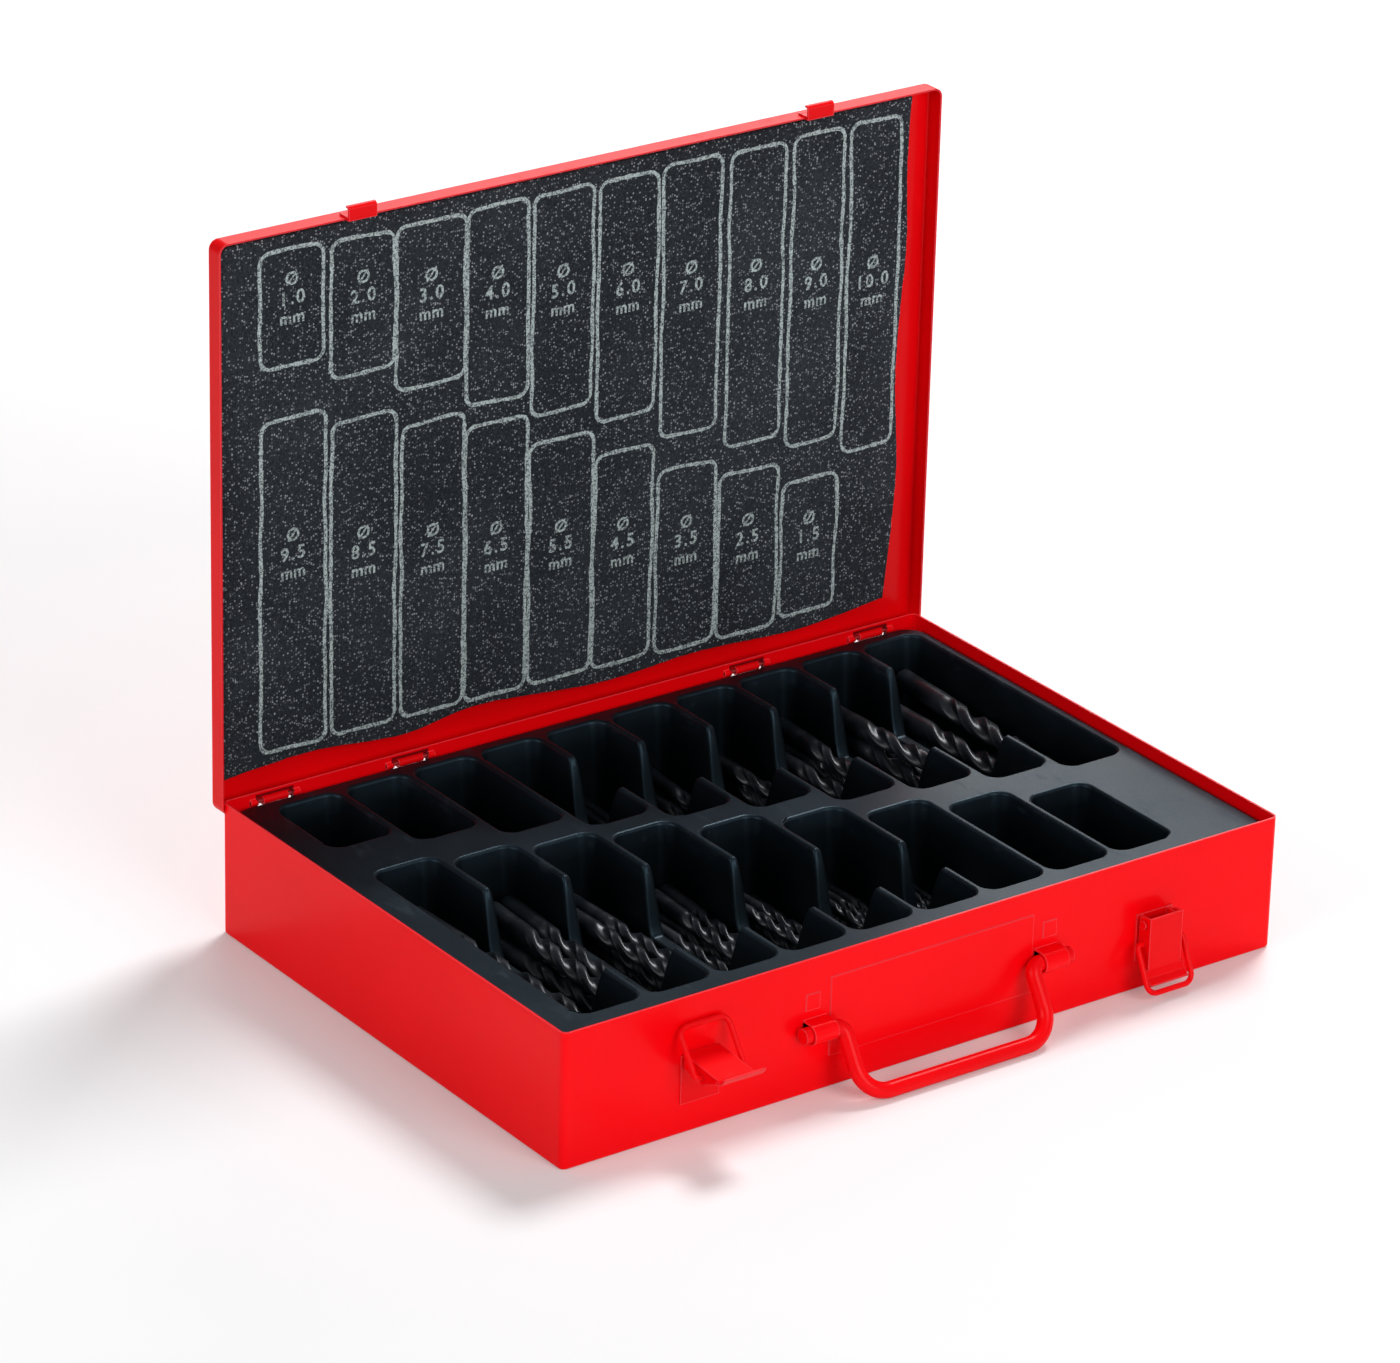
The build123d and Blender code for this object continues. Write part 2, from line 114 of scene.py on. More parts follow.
class Bench:
    """One material's node tree, its place on the piece in millimetres, and its shader."""

    def __init__(self, name):
        self.material = bpy.data.materials.new(name)
        self.material.use_nodes = True
        self.tree = self.material.node_tree
        self.shader = self.tree.nodes["Principled BSDF"]
        place = self.node("ShaderNodeTexCoord", output="Object")
        self.mm = self.node("ShaderNodeVectorMath", {"operation": "SCALE"}, {0: place, 3: 1000.0})

    def node(self, kind, settings=None, inputs=None, output=0):
        made = self.tree.nodes.new(kind)
        for name, value in (settings or {}).items():
            setattr(made, name, value)
        for name, value in (inputs or {}).items():
            self.put(made.inputs[name], value)
        return Wire(self, made.outputs[output])

    def put(self, socket, value):
        if isinstance(value, Wire):
            self.tree.links.new(value.socket, socket)
        else:
            socket.default_value = value

    def part(self, axis):
        """The place on the piece along one axis: 0, 1 or 2 for X, Y or Z."""
        return self.node("ShaderNodeSeparateXYZ", {}, {0: self.mm}, axis)

    def stretched(self, factors):
        """The place on the piece, stretched for a grain that runs one way."""
        return self.node(
            "ShaderNodeVectorMath", {"operation": "MULTIPLY"}, {0: self.mm, 1: factors}
        )

    def grain(self, scale, detail, place=None, roughness=0.5):
        inputs = {"Vector": place or self.mm, "Scale": scale}
        inputs.update({"Detail": detail, "Roughness": roughness})
        return self.node("ShaderNodeTexNoise", {}, inputs)

    def blend(self, share, first, second):
        colours = {0: share, 6: first, 7: second}
        return self.node("ShaderNodeMix", {"data_type": "RGBA"}, colours, 2)

    def bump(self, height, distance, strength, normal=None):
        inputs = {"Height": height, "Distance": distance, "Strength": strength}
        if normal:
            inputs["Normal"] = normal
        return self.node("ShaderNodeBump", {}, inputs)

    def edge_round_and_highlight(self, radius):
        """The normal rounded over an edge of this radius, and a mask, 1 along that edge, for a
        painted highlight.
        """
        rounded = self.node("ShaderNodeBevel", {"samples": 6}, {"Radius": radius})
        flat = self.node("ShaderNodeNewGeometry", output="Normal")
        dot = {"operation": "DOT_PRODUCT"}
        alike = self.node("ShaderNodeVectorMath", dot, {0: rounded, 1: flat}, 1)
        return rounded, (1.0 - alike).over(0.01, 0.12)

    def finish(self, **sockets):
        for name, value in sockets.items():
            self.put(self.shader.inputs[name.replace("_", " ")], value)
        return self.material


def rgb(red, green, blue):
    return (red, green, blue, 1.0)


def coat(name, material):
    """One material on a CAD piece that is seen as it is."""
    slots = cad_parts[name].data.materials
    slots.clear()
    slots.append(material)


FLOOR_HALF, FLOOR_GLOW = 9.0, 0.09
bpy.ops.mesh.primitive_plane_add(size=2 * FLOOR_HALF)
floor = bpy.context.object
floor.name = "studio_floor"
card = Bench("white_card")
tooth = card.grain(0.004, 2.0)
card.finish(
    Base_Color=card.blend(tooth, rgb(0.80, 0.80, 0.81), rgb(0.83, 0.83, 0.84)), Roughness=0.9
)
card.shader.inputs["Specular IOR Level"].default_value = 0.1
seen = card.node("ShaderNodeLightPath", output="Is Camera Ray")
through = card.node("ShaderNodeLightPath", output="Is Transmission Ray")
strength = (seen + through) * FLOOR_GLOW
glow = card.node("ShaderNodeEmission", {}, {"Color": rgb(1, 1, 1), "Strength": strength})
both = card.node("ShaderNodeAddShader", {}, {0: Wire(card, card.shader.outputs[0]), 1: glow})
card.put(card.tree.nodes["Material Output"].inputs["Surface"], both)
floor.data.materials.append(card.material)
floor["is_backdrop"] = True

world = bpy.data.worlds.new("studio")
bpy.context.scene.world = world
world.use_nodes = True
sky = world.node_tree.nodes["Background"]
sky.inputs["Color"].default_value = rgb(1.0, 1.0, 1.0)
sky.inputs["Strength"].default_value = 0.24


def lamp(name, place, aim, size, power):
    made = bpy.data.objects.new(name, bpy.data.lights.new(name, "AREA"))
    bpy.context.scene.collection.objects.link(made)
    made.data.shape, made.data.size, made.data.energy = "DISK", size, power
    made.location = place
    made.rotation_euler = (Vector(aim) - Vector(place)).to_track_quat("-Z", "Y").to_euler()


lamp("soft_right", (1.5, 0.8, 2.6), (0, 0, 0.08), 1.0, 68)
lamp("back_window", (1.75, 2.35, 1.40), (0.05, 0, 0.15), 1.3, 13)
lamp("soft_front", (0.2, -3.2, 1.5), (0, 0, 0.1), 2.4, 60)
lamp("soft_left", (-3.0, -0.3, 1.5), (0, 0, 0.1), 1.8, 32)

# ---------------------------------------------------------------- the case
# A box of folded and welded sheet steel, stoved in gloss red. The paint is thick and slightly
# pebbled, has a painted pale highlight along folded edges, and carries a little dust and rubbing.
# The windows lie in two pairs: each pair's middle and half its spacing, then a window's half sizes.
PAIR_X, PAIR_HALF = 124.5, 34.5
WINDOW_HALF_X, WINDOW_Z, WINDOW_HALF_Z = 8.5, 56.1, 3.8


def red_enamel(name, red, deep, shaded_hinge_windows=False):
    paint = Bench(name)
    rounded, edge = paint.edge_round_and_highlight(0.0007)
    tone = paint.grain(0.012, 3.0).over(0.3, 0.7)
    pebble = paint.grain(0.42, 2.0)
    fine = paint.grain(2.6, 2.0)
    dust = paint.grain(1.7, 4.0, roughness=0.7).over(0.70, 0.80)
    rub = paint.grain(0.09, 5.0, roughness=0.65).over(0.58, 0.72)
    colour = paint.blend(tone, red, deep)
    # Folded edges are blended towards pale pink: a painted highlight.
    colour = paint.blend(edge * 0.42, colour, rgb(1.0, 0.15, 0.19))
    colour = paint.blend(dust * 0.16, colour, rgb(0.85, 0.42, 0.42))
    if shaded_hinge_windows:
        # A painted shade darkens the cut edges of the four windows in the back wall, where the gaps
        # lie in shadow.
        x, y, z = (paint.part(axis) for axis in range(3))
        beside = x.away(0.0).away(PAIR_X).away(PAIR_HALF) - WINDOW_HALF_X
        cut = beside.most(z.away(WINDOW_Z) - WINDOW_HALF_Z)
        line = (1.0 - cut.away(0.3).over(0.40, 0.95)) * y.over(125.5, 126.5)
        colour = paint.blend(line * 0.85, colour, rgb(0.05, 0.002, 0.004))
    height = pebble * 0.8 + fine * 0.10 + dust * 0.25
    paint.shader.inputs["Specular IOR Level"].default_value = 0.06
    return paint.finish(
        Base_Color=colour,
        Roughness=rub * 0.08 + dust * 0.15 + fine * 0.05 + 0.30,
        Coat_Weight=edge * 0.6 + 0.08,
        Coat_Roughness=0.16,
        Normal=paint.bump(height, 0.00004, 0.55, rounded),
    )


case_red = red_enamel(
    "case_enamel", rgb(0.98, 0.0008, 0.0045), rgb(0.93, 0.0006, 0.0035), shaded_hinge_windows=True
)
coat("base_box", case_red)

# ---------------------------------------------------------------- the hinges
# Four short pins of drawn steel wire, pushed through the curled ears beside the back windows and
# caught by the lid's tongues. They were painted over with the case, and bare steel shows in specks.
pins = Bench("hinge_wire")
drawn = pins.grain(0.9, 4.0, pins.stretched((0.06, 3, 3)))
bare = pins.grain(0.55, 3.0).over(0.72, 0.78)
pins.finish(
    Base_Color=pins.blend(bare, rgb(0.34, 0.002, 0.004), rgb(0.40, 0.38, 0.38)),
    Metallic=bare * 0.3,
    Roughness=drawn * 0.2 + 0.45,
    Normal=pins.bump(drawn, 0.00002, 0.5),
)
coat("hinge_pins", pins.material)

# ---------------------------------------------------------------- the lid
# A shallow pressed pan of the same steel and enamel, with curled tongues at the back and two bent
# catches spot-welded to its front skirt.
lid_red = red_enamel("lid_enamel", rgb(0.86, 0.0012, 0.0040), rgb(0.78, 0.0010, 0.0032))
for name in ("lid_shell", "lid_catch_left", "lid_catch_right"):
    coat(name, lid_red)

# ---------------------------------------------------------------- the foam in the lid
# A charcoal foam sheet, cut by hand and glued in, so that its right and lower edges wander. It
# holds the bits in their pockets when the lid is shut. Its cells show as fine pale specks.
FOAM_FACE, FOAM_BACK = 128.6, 133.6
FOAM_LEFT, FOAM_LOW, FOAM_HIGH, FOAM_CUT = -183.4, 70.3, 311.5, 2.5
FOAM_SOFT = 2.4
foam_right_edge = [
    (173.3, FOAM_HIGH), (172.3, 277.1), (173.5, 245.1), (171.1, 207.1), (170.1, 177.1),
    (172.5, 137.1), (170.5, 101.1),
]
foam_low_edge = [
    (167.4, 72.8), (120, 68.3), (64, 70.7), (12, 68.5), (-52, 73.5), (-92, 69.1), (-138, 72.9),
    (FOAM_LEFT, FOAM_LOW),
]


def wander(points, step):
    """A smooth line through the points."""
    line = []
    for i in range(len(points) - 1):
        p0, p1, p2, p3 = (
            Vector(points[min(max(j, 0), len(points) - 1)]) for j in range(i - 1, i + 3)
        )
        count = max(2, int((p2 - p1).length / step))
        for k in range(count):
            t = k / count
            cubic = t * (3 * (p1 - p2) + p3 - p0)
            line.append(p1 + 0.5 * t * (p2 - p0 + t * (2 * p0 - 5 * p1 + 4 * p2 - p3 + cubic)))
    return line + [Vector(points[-1])]


def piece(name, points, faces, material, smooth=True, unit=MM):
    mesh = bpy.data.meshes.new(name)
    mesh.from_pydata([Vector(p) * unit for p in points], [], faces)
    mesh.materials.append(material)
    made = bpy.data.objects.new(name, mesh)
    bpy.context.scene.collection.objects.link(made)
    if smooth:
        mesh.shade_smooth()
    return made


def bands(first, count, levels):
    """The four-sided faces between rings of points that follow one another."""
    return [
        (a + i, a + (i + 1) % count, a + count + (i + 1) % count, a + count + i)
        for a in range(first, first + (levels - 1) * count, count)
        for i in range(count)
    ]


def outward(made, merge=0.0):
    """Doubles merged and every face turned outwards."""
    work = bmesh.new()
    work.from_mesh(made.data)
    if merge:
        bmesh.ops.remove_doubles(work, verts=work.verts, dist=merge * MM)
    bmesh.ops.recalc_face_normals(work, faces=work.faces)
    work.to_mesh(made.data)
    work.free()
    return made


def foam_dip(x, z):
    """How far the foam's face lies behind its highest spots, in millimetres."""
    broad = noise.noise(Vector((x * 0.021, z * 0.021, 3.0)))
    broad += 0.45 * noise.noise(Vector((x * 0.075, z * 0.075, 8.0)))
    left_dent = math.exp(-((x + 170.5) / 5.5) ** 2)
    left_dent *= 0.6 + 0.3 * noise.noise(Vector((0, z * 0.03, 1)))
    return 0.32 + 0.28 * broad + 0.5 * left_dent


def edge_rough(x, z):
    return 0.32 * noise.noise(Vector((x * 0.35, z * 0.35, 5.0)))


top_run = foam_right_edge[0][0] - FOAM_LEFT - FOAM_CUT
rim = [Vector((FOAM_LEFT + FOAM_CUT + top_run * k / 90, FOAM_HIGH)) for k in range(90)]
rim += wander(foam_right_edge, 3.0) + wander(foam_low_edge, 3.0)
left_run = FOAM_HIGH - FOAM_CUT - FOAM_LOW
rim += [Vector((FOAM_LEFT, FOAM_LOW + left_run * k / 60)) for k in range(1, 61)]
ring_count = len(rim)
inward = []
for i, here in enumerate(rim):
    along = (rim[(i + 1) % ring_count] - rim[i - 1]).normalized()
    inward.append(Vector((along.y, -along.x)))
points, faces = [], []
rings = [(1.5, 0.0), (0.75, 0.12), (0.25, 0.45), (0.02, 1.1), (0.0, 2.4), (0.05, 4.2), (0.6, 5.0)]
for inset, depth in rings:
    for here, normal in zip(rim, inward):
        x, z = here + normal * (inset + (0.15 + edge_rough(*here) if inset < 1.4 else 0.15))
        fade = max(0.0, 1 - depth / FOAM_SOFT)
        points.append((x, FOAM_FACE + depth + foam_dip(x, z) * fade, z))
faces += bands(0, ring_count, len(rings))
last_ring = (len(rings) - 1) * ring_count
flat_front = [Vector((x, z)) for x, _, z in points[:ring_count]]
flat_back = [Vector((x, z)) for x, _, z in points[last_ring:]]


def fill(outline, step):
    """Triangles over a closed outline, with loose points step apart inside."""
    edges = [(i, (i + 1) % len(outline)) for i in range(len(outline))]
    inside = []
    if step:
        low = [min(p[k] for p in outline) for k in (0, 1)]
        high = [max(p[k] for p in outline) for k in (0, 1)]
        for row in range(1, int((high[1] - low[1]) / step)):
            for column in range(1, int((high[0] - low[0]) / step)):
                across = (column + 0.5 * (row % 2)) * step
                inside.append(Vector((low[0] + across, low[1] + row * step)))
    result = delaunay_2d_cdt(outline + inside, edges, [tuple(range(len(outline)))], 1, 1e-5)
    return result[0], result[2], result[3]


for outline, step, base, flip in ((flat_front, 5.0, 0, False), (flat_back, 0, last_ring, True)):
    spots, triangles, origin = fill(outline, step)
    index = {}
    for k, spot in enumerate(spots):
        old = next((o for o in origin[k] if o < ring_count), None)
        if old is not None:
            index[k] = base + old
        else:
            index[k] = len(points)
            depth = foam_dip(*spot) if not flip else FOAM_BACK - FOAM_FACE
            points.append((spot.x, FOAM_FACE + depth, spot.y))
    for triangle in triangles:
        faces.append(tuple(index[v] for v in (triangle if not flip else reversed(triangle))))

foam = Bench("charcoal_foam")
cells = {"Vector": foam.mm, "Scale": 0.92}
cell = foam.node("ShaderNodeTexVoronoi", {"feature": "F1"}, cells, "Distance")
cell_tint = foam.node("ShaderNodeTexVoronoi", {"feature": "F1"}, cells, "Color")
tint = foam.node("ShaderNodeSeparateColor", {}, {0: cell_tint}, 0)
fuzz = foam.grain(1.0, 5.0, roughness=0.74)
patch = foam.grain(0.018, 3.0).over(0.35, 0.68)
light_spot = tint.over(0.60, 0.85) * (1.0 - cell.over(0.28, 0.50)) * fuzz.over(0.38, 0.52)
dark_spot = (1.0 - tint.over(0.14, 0.34)) * (1.0 - cell.over(0.35, 0.60))
char = foam.blend(patch, rgb(0.0115, 0.0145, 0.019), rgb(0.022, 0.027, 0.034))
char = foam.blend(fuzz.over(0.45, 0.72) * 0.55, char, rgb(0.070, 0.083, 0.100))
char = foam.blend(dark_spot * 0.7, char, rgb(0.006, 0.007, 0.009))
char = foam.blend(light_spot * 0.85, char, rgb(0.42, 0.45, 0.49))
foam.finish(
    Base_Color=char,
    Roughness=fuzz * 0.1 + 0.82,
    Normal=foam.bump(fuzz * 0.7 + cell * 0.5 + light_spot * 0.4, 0.0006, 0.9),
)
foam.shader.inputs["Specular IOR Level"].default_value = 0.12
foam.shader.inputs["Sheen Weight"].default_value = 0.05
foam_pad = outward(piece("foam_pad", points, faces, foam.material))
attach(foam_pad, "lid")
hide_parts("lid_foam_pad")

# ---------------------------------------------------------------- the size marks on the foam
# Each pocket's outline and bit size, screen-printed on the foam in a thin pale ink that has
# sunk into the cells, so that its lines are grainy and not quite straight.
INK_LIFT, MARK_CORNER = 0.10, 4.6
mark_places = [
    ("1.0", -164.2, -133.4, 247.7, 196.0), ("2.0", -129.5, -97.8, 246.4, 185.0),
    ("3.0", -96.8, -62.0, 246.4, 172.7), ("4.0", -61.5, -30.3, 247.4, 157.3),
    ("5.0", -27.7, 3.4, 247.2, 145.8), ("6.0", 6.5, 37.0, 246.6, 135.1),
    ("7.0", 40.3, 70.2, 247.5, 120.3), ("8.0", 75.6, 104.8, 246.9, 108.2),
    ("9.0", 109.3, 136.6, 247.7, 101.0), ("10.0", 140.6, 167.8, 247.9, 91.6),
    ("9.5", -164.6, -132.3, 172.1, 19.0), ("8.5", -129.3, -96.9, 164.5, 19.0),
    ("7.5", -93.9, -62.0, 155.6, 18.7), ("6.5", -61.0, -29.3, 147.6, 18.1),
    ("5.5", -27.7, 5.1, 132.0, 18.3), ("4.5", 6.2, 37.2, 119.2, 18.0),
    ("3.5", 40.0, 72.0, 104.1, 16.4), ("2.5", 73.7, 105.7, 94.7, 15.6),
    ("1.5", 108.5, 138.6, 83.3, 17.8),
]
ink_points, ink_faces = [], []


def mark_height(h):
    """The height on the foam of a mark measured from the rim of the case."""
    return 55.7 + (62.16 + h - 58.6) * 0.99


def on_foam(x, z, lift):
    return (x, FOAM_FACE + foam_dip(x, z) - lift, z)


for number, (_, left, right, high, low) in enumerate(mark_places):
    far_left, far_right = left + MARK_CORNER, right - MARK_CORNER
    top, bottom = mark_height(high) - MARK_CORNER, mark_height(low) + MARK_CORNER
    loop = []
    for cx, cz, start in (
        (far_right, top, 0), (far_left, top, 90), (far_left, bottom, 180), (far_right, bottom, 270),
    ):
        for k in range(8):
            angle = math.radians(start + 90 * k / 7)
            across, up = MARK_CORNER * math.cos(angle), MARK_CORNER * math.sin(angle)
            loop.append(Vector((cx + across, cz + up)))
    dense = []
    for i, here in enumerate(loop):
        there = loop[(i + 1) % len(loop)]
        count = max(1, round((there - here).length / 1.6))
        dense += [here.lerp(there, k / count) for k in range(count)]
    total, first = len(dense), len(ink_points)
    for i, here in enumerate(dense):
        along = (dense[(i + 1) % total] - dense[i - 1]).normalized()
        normal = Vector((along.y, -along.x))
        sway = 1.1 * noise.noise(Vector((here.x * 0.045, here.y * 0.045, number * 3.1)))
        wide = 0.95 + 0.45 * noise.noise(Vector((here.x * 0.5, here.y * 0.5, number * 1.7)))
        for across, lift in (
            (-wide, -0.05), (-wide * 0.8, INK_LIFT), (wide * 0.8, INK_LIFT), (wide, -0.05),
        ):
            ink_points.append(on_foam(*(here + normal * (sway + across)), lift))
    for i in range(total):
        j = (i + 1) % total
        for k in range(4):
            a, b = first + 4 * i, first + 4 * j
            ink_faces.append((a + k, b + k, b + (k + 1) % 4, a + (k + 1) % 4))

ink = Bench("print_ink")
blot = ink.grain(1.3, 4.0, roughness=0.78)
thin = blot.over(0.42, 0.54)
ink.finish(
    Base_Color=ink.blend(thin, rgb(0.045, 0.055, 0.062), rgb(0.46, 0.54, 0.54)),
    Roughness=blot * 0.1 + 0.75,
    Normal=ink.bump(blot, 0.0002, 0.6),
)
marks = outward(piece("foam_size_outlines", ink_points, ink_faces, ink.material, smooth=False))
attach(marks, "lid")

# The numbers lean with the lid's two rows: a row's height, its fall to the right, and where from.
HIGH_ROW, LOW_ROW = (283.9, 0.1775, 152.4), (168.4, 0.1985, 150.2)
words_points, words_faces = [], []
for label, left, right, high, low in mark_places:
    middle = (left + right) / 2
    start_level, fall, start_x = HIGH_ROW if high > 200 else LOW_ROW
    level = start_level - fall * (middle + start_x)
    for row, (text, size, lift, spacing) in enumerate((
        ("Ø", 8.2, 8.5, 1.0), (label, 8.6, 0.0, 1.25), ("mm", 7.8, -8.7, 1.1),
    )):
        letters = bpy.data.curves.new("letters", "FONT")
        letters.body, letters.size, letters.align_x = text, size * MM, "CENTER"
        letters.extrude, letters.offset, letters.resolution_u = 0.00008, 0.00015, 3
        letters.space_character = spacing
        holder = bpy.data.objects.new("letters", letters)
        bpy.context.scene.collection.objects.link(holder)
        flat = bpy.data.meshes.new_from_object(holder)
        start = len(words_points)
        lean = 0.05 * noise.noise(Vector((left, high, row)))
        for vertex in flat.vertices:
            x = middle + vertex.co.x / MM + lean * vertex.co.y / MM
            z = level + lift - 0.35 * size + vertex.co.y / MM
            wobble = 0.16 * noise.noise(Vector((x * 0.6, z * 0.6, 2.0)))
            words_points.append(on_foam(x + wobble, z + wobble, 0.08 + vertex.co.z / MM))
        words_faces += [tuple(start + v for v in face.vertices) for face in flat.polygons]
        bpy.data.objects.remove(holder)
words = piece("foam_size_numbers", words_points, words_faces, ink.material, smooth=False)
outward(words, merge=0.002)
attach(words, "lid")

# ---------------------------------------------------------------- the tray
# One moulding of satin black plastic with ten pockets at the back and nine at the front. Every
# mouth, rim and divider is rounded, and a deep finger notch drops through most dividers.
TOP, FLOOR_Z = 57.0, 13.0
HALF_X, HALF_Y, OUTER_R = 183.6, 126.6, 11.0
POCKET_HALF, MOUTH_R, PITCH, FIRST_X = 15.5, 6.5, 34.6, -149.0
SLOPE = math.tan(math.radians(3.0))
LIP, BOWL, RIM_R, WALL = 1.55, 3.6, 2.6, 1.05
SADDLE, RAMP = 27.0, 11.0
BACK_END, FRONT_END = 119.0, -109.5
back_ends = (72.0, 59.0, 44.5, 31.0, 19.5, 8.0, -6.0, -15.0, -24.0, -32.0)
front_ends = (44.0, 36.0, 28.0, 19.0, 4.5, -8.0, -22.0, -34.5, -46.5)
pockets = [(i, y, BACK_END, 0) for i, y in enumerate(back_ends)]
pockets += [(i, FRONT_END, y, 1) for i, y in enumerate(front_ends)]
finger_notches = {
    (3, 0): (94, 56), (4, 0): (91, 46), (5, 0): (88, 35),
    (6, 0): (88, 26), (7, 0): (90, 16), (8, 0): (94, 8),
}
finger_notches.update({(i, 1): (front_ends[i + 1] - 29.5, -82) for i in range(6)})


def crest(column, row, y):
    """The height of the divider on the right of a column, which dips in its finger notch."""
    ends = finger_notches.get((column, row))
    if not ends or not ends[1] < y < ends[0]:
        return TOP
    t = min(1.0, (ends[0] - y) / RAMP, (y - ends[1]) / RAMP)
    return TOP - (TOP - SADDLE) * t * t * (3 - 2 * t)


def side_steps(column, row, low, high):
    """Where a pocket's straight side has points: close together on the notch's ramps."""
    steps = {low, high}
    steps.update(low + (high - low) * k / 12 for k in range(13))
    ends = finger_notches.get((column, row))
    if ends:
        steps = {
            s for s in steps
            if not ends[1] - 2 < s < ends[1] + RAMP + 2 and not ends[0] - RAMP - 2 < s < ends[0] + 2
        } | {low, high}
        steps.update(ends[1] + k * RAMP / 12 for k in range(-1, 14))
        steps.update(ends[0] - k * RAMP / 12 for k in range(-1, 14))
    return sorted(s for s in steps if low <= s <= high)


def corner(cx, cy, start):
    """Eight points round a pocket's corner, from just past its start."""
    for k in range(1, 9):
        angle = math.radians(start + 10 * k)
        c, s = math.cos(angle), math.sin(angle)
        yield cx + MOUTH_R * c, cy + MOUTH_R * s, -c, -s, TOP


def mouth(column, y0, y1, row):
    """A pocket's mouth as (x, y, inward normal, crest height), anticlockwise."""
    x = FIRST_X + column * PITCH
    line = []
    for side, turn, ramps in ((1, 0, column), (-1, 180, column - 1)):
        steps = side_steps(ramps, row, y0 + MOUTH_R, y1 - MOUTH_R)
        for y in steps if side > 0 else reversed(steps):
            line.append((x + side * POCKET_HALF, y, -side, 0.0, crest(ramps, row, y)))
        end = y1 - MOUTH_R if side > 0 else y0 + MOUTH_R
        line += corner(x + side * (POCKET_HALF - MOUTH_R), end, turn)
        for k in range(5):
            along = x + side * (POCKET_HALF - MOUTH_R) * (1 - 0.5 * k)
            line.append((along, end + side * MOUTH_R, 0.0, -side, TOP))
        line += corner(x - side * (POCKET_HALF - MOUTH_R), end, turn + 90)
    return line


def wall_levels(height):
    """A pocket wall from lip to floor as (distance in from the mouth, height)."""
    line = []
    for angle in (0, 22, 45, 67, 87):
        a = math.radians(angle)
        z = height - LIP * (1 - math.cos(a))
        line.append((-LIP * (1 - math.sin(a)) + SLOPE * (TOP - z), z))
    for k in (1, 2, 3):
        z = (height - LIP) + (FLOOR_Z + BOWL - height + LIP) * k / 4
        line.append((SLOPE * (TOP - z), z))
    for angle in (0, 22, 45, 67, 90):
        a = math.radians(angle)
        z = FLOOR_Z + BOWL * (1 - math.sin(a))
        line.append((SLOPE * (TOP - FLOOR_Z - BOWL) + BOWL * (1 - math.cos(a)), z))
    return line


points, faces, loops, holes = [], [], [], []
for column, y0, y1, row in pockets:
    line = mouth(column, y0, y1, row)
    walls = [wall_levels(p[4]) for p in line]
    count, levels, first = len(line), len(walls[0]), len(points)
    for level in range(levels):
        for (x, y, nx, ny, _), wall in zip(line, walls):
            inset, z = wall[level]
            points.append((x + nx * inset, y + ny * inset, z))
    faces += bands(first, count, levels)
    faces.append(tuple(first + (levels - 1) * count + i for i in range(count)))
    loops.append(list(range(first, first + count)))
    x = FIRST_X + column * PITCH
    holes.append((x - POCKET_HALF, x + POCKET_HALF, y0, y1))

outer = []
CENTRE_X, CENTRE_Y = HALF_X - OUTER_R, HALF_Y - OUTER_R
for cx, cy, start in (
    (CENTRE_X, CENTRE_Y, 0), (-CENTRE_X, CENTRE_Y, 90),
    (-CENTRE_X, -CENTRE_Y, 180), (CENTRE_X, -CENTRE_Y, 270),
):
    for k in range(13):
        angle = math.radians(start + 7.5 * k)
        outer.append((cx, cy, math.cos(angle), math.sin(angle)))
skirt = []
for degrees in (0, 18, 36, 54, 72, 90):
    a = math.radians(degrees)
    skirt.append((OUTER_R - RIM_R * (1 - math.sin(a)), TOP - RIM_R * (1 - math.cos(a))))
skirt += [(OUTER_R, 40.0), (OUTER_R, 20.0), (OUTER_R, 1.1)]
first, count = len(points), len(outer)
for reach, z in skirt:
    points += [(cx + c * reach, cy + s * reach, z) for cx, cy, c, s in outer]
for level in range(len(skirt) - 1):
    for i in range(count):
        j = (i + 1) % count
        a, b = first + level * count, first + (level + 1) * count
        faces.append((a + i, b + i, b + j, a + j))
loops.append(list(range(first, first + count)))
flat, edges, back = [], [], []
for loop in loops:
    start = len(flat)
    flat += [Vector(points[i][:2]) for i in loop]
    back += loop
    edges += [(start + i, start + (i + 1) % len(loop)) for i in range(len(loop))]
spots, _, triangles, origin, _, _ = delaunay_2d_cdt(flat, edges, [], 0, 1e-6)
for triangle in triangles:
    centre = sum((spots[i] for i in triangle), Vector((0, 0))) / 3
    inside = any(x0 < centre.x < x1 and y0 < centre.y < y1 for x0, x1, y0, y1 in holes)
    if not inside:
        faces.append(tuple(back[origin[i][0]] for i in triangle))

plastic = Bench("tray_plastic_black")
_, lip_highlight = plastic.edge_round_and_highlight(0.0012)
leather = plastic.grain(0.75, 3.0)
haze = plastic.grain(0.022, 3.0).over(0.35, 0.7)
scuff = plastic.grain(0.12, 5.0, plastic.stretched((1.0, 0.35, 1.0)), roughness=0.7)
scuff = scuff.over(0.56, 0.70)
# Lower in the pockets the black is darker: a painted shade in the pockets. Scuffs keep to the upper
# part, where hands reach.
top_lit_and_handled = plastic.part(2).over(46.0, 56.6)
grey = plastic.blend(top_lit_and_handled, rgb(0.0016, 0.0022, 0.0028), rgb(0.0025, 0.0040, 0.0058))
grey = plastic.blend(haze * top_lit_and_handled * 0.6, grey, rgb(0.0065, 0.0105, 0.0145))
